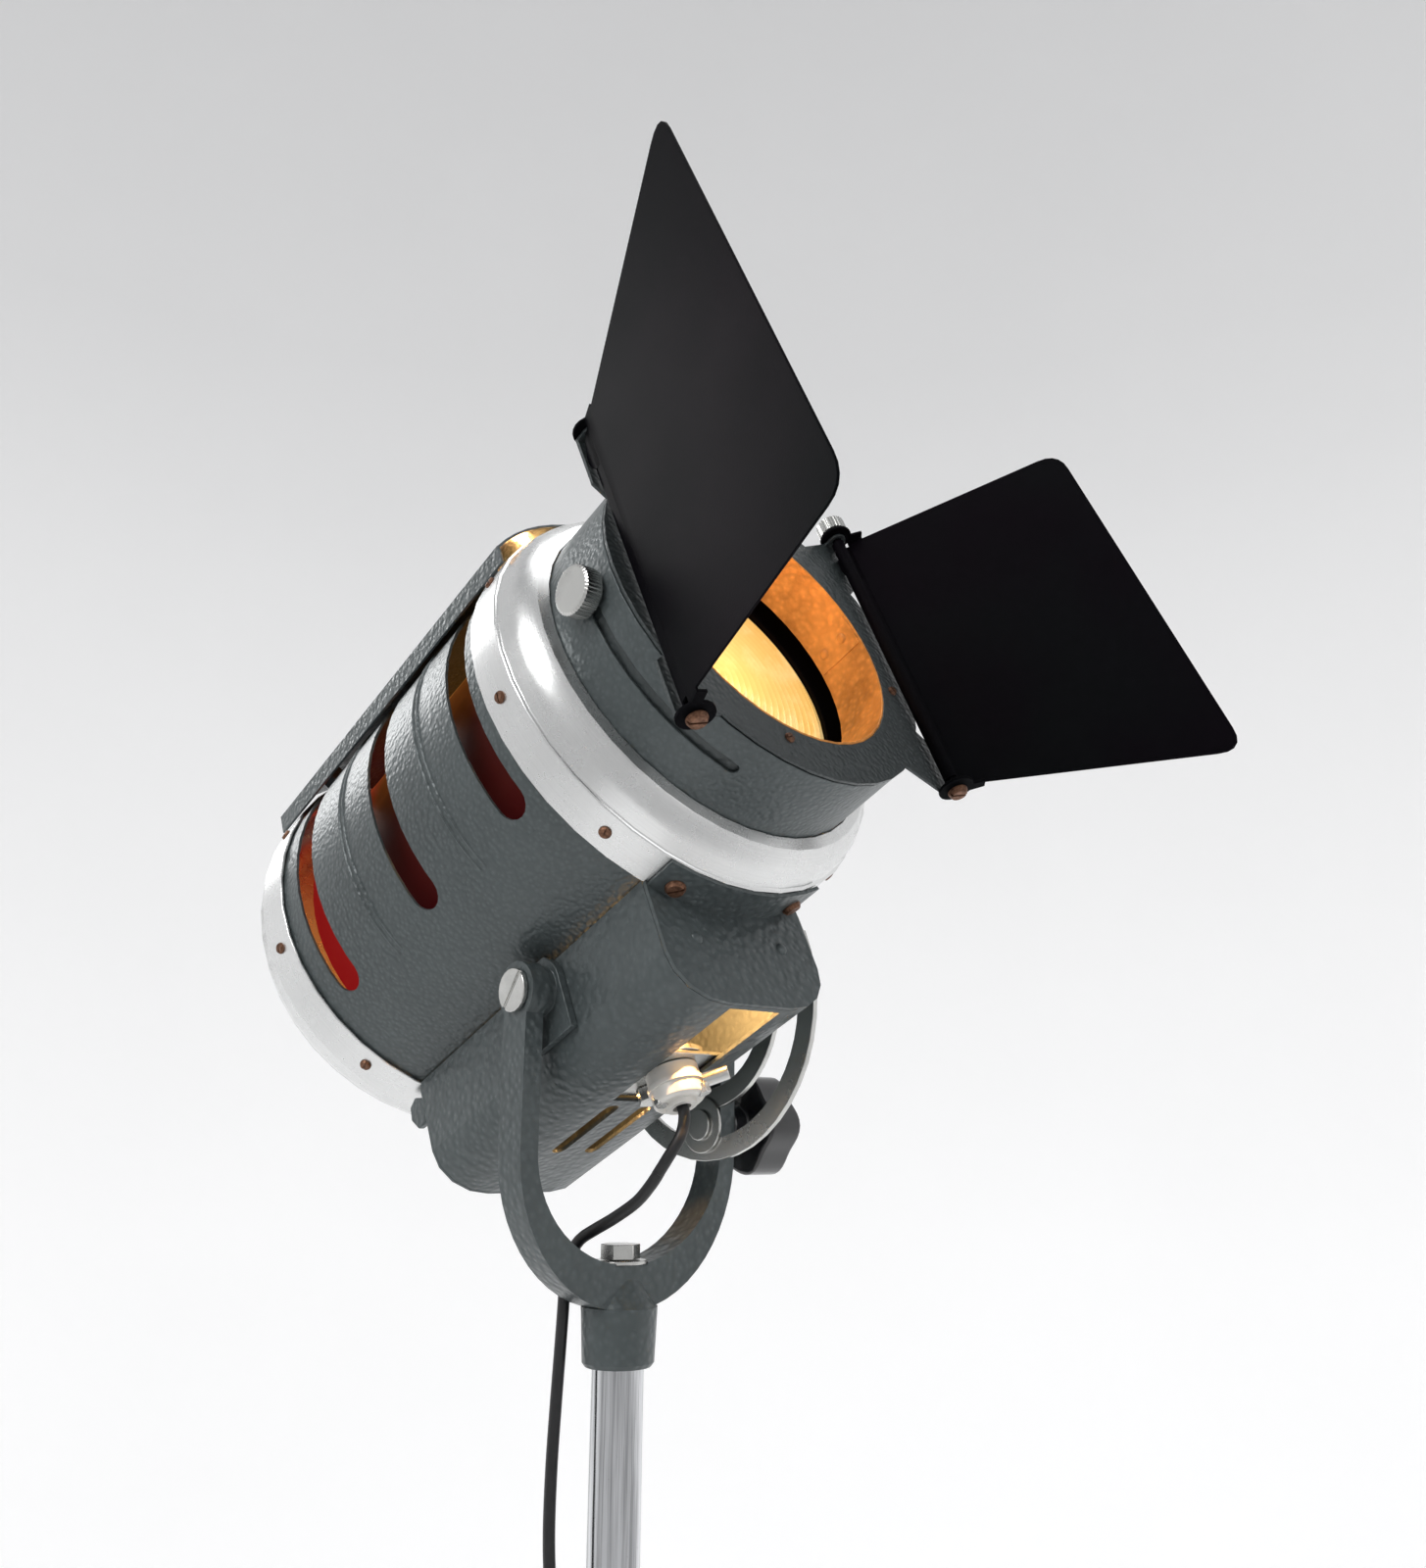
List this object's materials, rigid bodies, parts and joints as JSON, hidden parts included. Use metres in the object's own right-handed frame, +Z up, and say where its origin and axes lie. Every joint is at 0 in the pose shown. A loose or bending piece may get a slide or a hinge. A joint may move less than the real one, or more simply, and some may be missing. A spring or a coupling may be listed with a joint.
{
  "type": "fresnel spotlight head on a yoke",
  "caption": "Focusing fresnel spotlight head with barn doors on a turning ring, in a clamping fork yoke on a chrome tube, with its mains cord.",
  "frame": {"origin": "middle of the stand tube's flat lower end", "axes": "+Z up along the tube, -Y the way the lamp points before it is tilted, X along the tilt axis"},
  "size_m": [0.3391, 0.5128, 0.7336],
  "materials": {
    "hammered_grey": "hammered grey-green enamel over sheet and cast metal, worn at the edges",
    "spun_aluminium": "satin, with fine turned lines",
    "leaf_black": "matt heat-proof black, lightly scuffed",
    "bright_steel": "plated and a little dulled",
    "chrome_tube": "polished",
    "black_bakelite": "moulded, polished",
    "black_rubber": "smooth rubber flex",
    "aged_brass": "tarnished screws and collar",
    "clear_glass": "pressed lens and lamp glass",
    "heated_steel": "heat-tinted inner sheet",
    "ceramic": "unglazed ceramic"
  },
  "bodies": {
    "stand": {"stand_tube": "chrome_tube", "tube_plug": "bright_steel", "pan_washer": "bright_steel", "pan_bolt": "bright_steel"},
    "yoke": {"yoke": "hammered_grey", "left_pivot_screw": "bright_steel", "right_pivot_screw": "bright_steel", "clamp_bolt": "bright_steel", "clamp_washer": "bright_steel", "cord_drop": "black_rubber", "cord_coil": "black_rubber", "cord_end": "black_rubber", "cord_plug": "black_rubber", "cord_strap": "black_rubber"},
    "clamp_knob": {"clamp_knob": "black_bakelite"},
    "head": {"drum_shell": "hammered_grey", "inner_baffle": "heated_steel", "rear_cap": "spun_aluminium", "front_bezel": "spun_aluminium", "nose_ring": "hammered_grey", "lens": "clear_glass", "lens_ring": "bright_steel", "hood": "hammered_grey", "hood_stay_rear_left": "hammered_grey", "hood_stay_rear_right": "hammered_grey", "hood_stay_front_left": "hammered_grey", "hood_stay_front_right": "hammered_grey", "box_body": "hammered_grey", "box_front_cap": "hammered_grey", "box_rear_plate": "hammered_grey", "rear_catch": "hammered_grey", "left_lug": "hammered_grey", "right_lug": "hammered_grey", "quadrant": "bright_steel", "quadrant_spacer_front": "bright_steel", "quadrant_spacer_rear": "bright_steel"},
    "lamp_carriage": {"lamp_carriage": "bright_steel", "lamp_socket": "ceramic", "lamp_post": "bright_steel", "lamp_holder": "ceramic", "bulb": "clear_glass", "reflector": "chrome_tube", "reflector_bracket": "bright_steel", "focus_nut": "bright_steel", "cord_clamp_screw": "bright_steel", "cord_lead": "black_rubber"},
    "door_ring": {"door_plate": "hammered_grey", "light_collar": "aged_brass", "left_hinge_rod": "leaf_black", "right_hinge_rod": "leaf_black", "left_hinge_screw": "aged_brass", "right_hinge_screw": "aged_brass"},
    "ring_knob": {"ring_knob": "bright_steel"},
    "left_leaf": {"left_leaf": "leaf_black"},
    "right_leaf": {"right_leaf": "leaf_black"},
    "right_hinge_nut": {"right_hinge_nut": "bright_steel"}
  },
  "joints": [
    {"name": "pan", "type": "hinge", "parent": "stand", "child": "yoke", "pos_m": [0, 0, 0.27], "axis": [0, 0, 1], "range_deg": [-170, 170]},
    {"name": "tilt", "type": "hinge", "parent": "yoke", "child": "head", "pos_m": [0, 0, 0.4], "axis": [-1, 0, 0], "range_deg": [-80, 29], "deforming": ["cord_drop", "cord_lead"]},
    {"name": "clamp_turn", "type": "hinge", "parent": "yoke", "child": "clamp_knob", "pos_m": [0.085, 0, 0.339], "axis": [1, 0, 0], "range_deg": [-180, 180]},
    {"name": "focus", "type": "slide", "parent": "head", "child": "lamp_carriage", "axis": [0, -0.9003, 0.4352], "range_m": [-0.003, 0.045], "deforming": ["cord_lead"]},
    {"name": "ring_turn", "type": "hinge", "parent": "head", "child": "door_ring", "pos_m": [0, -0.1012, 0.57666], "axis": [0, -0.9003, 0.4352], "range_deg": [-2, 60]},
    {"name": "left_leaf_swing", "type": "hinge", "parent": "door_ring", "child": "left_leaf", "pos_m": [-0.087, -0.1075, 0.5797], "axis": [0, 0.4352, 0.9003], "range_deg": [-69.5, 45.5]},
    {"name": "right_leaf_swing", "type": "hinge", "parent": "door_ring", "child": "right_leaf", "pos_m": [0.087, -0.1075, 0.5797], "axis": [0, -0.4352, -0.9003], "range_deg": [-43.5, 71.5]},
    {"name": "ring_knob_turn", "type": "hinge", "parent": "door_ring", "child": "ring_knob", "pos_m": [0, -0.085, 0.56882], "axis": [-0.9998, -0.0076, -0.0157], "range_deg": [-180, 180]},
    {"name": "hinge_nut_turn", "type": "hinge", "parent": "door_ring", "child": "right_hinge_nut", "pos_m": [0.087, -0.06616, 0.66523], "axis": [0, 0.4352, 0.9003], "range_deg": [-180, 180]}
  ]
}
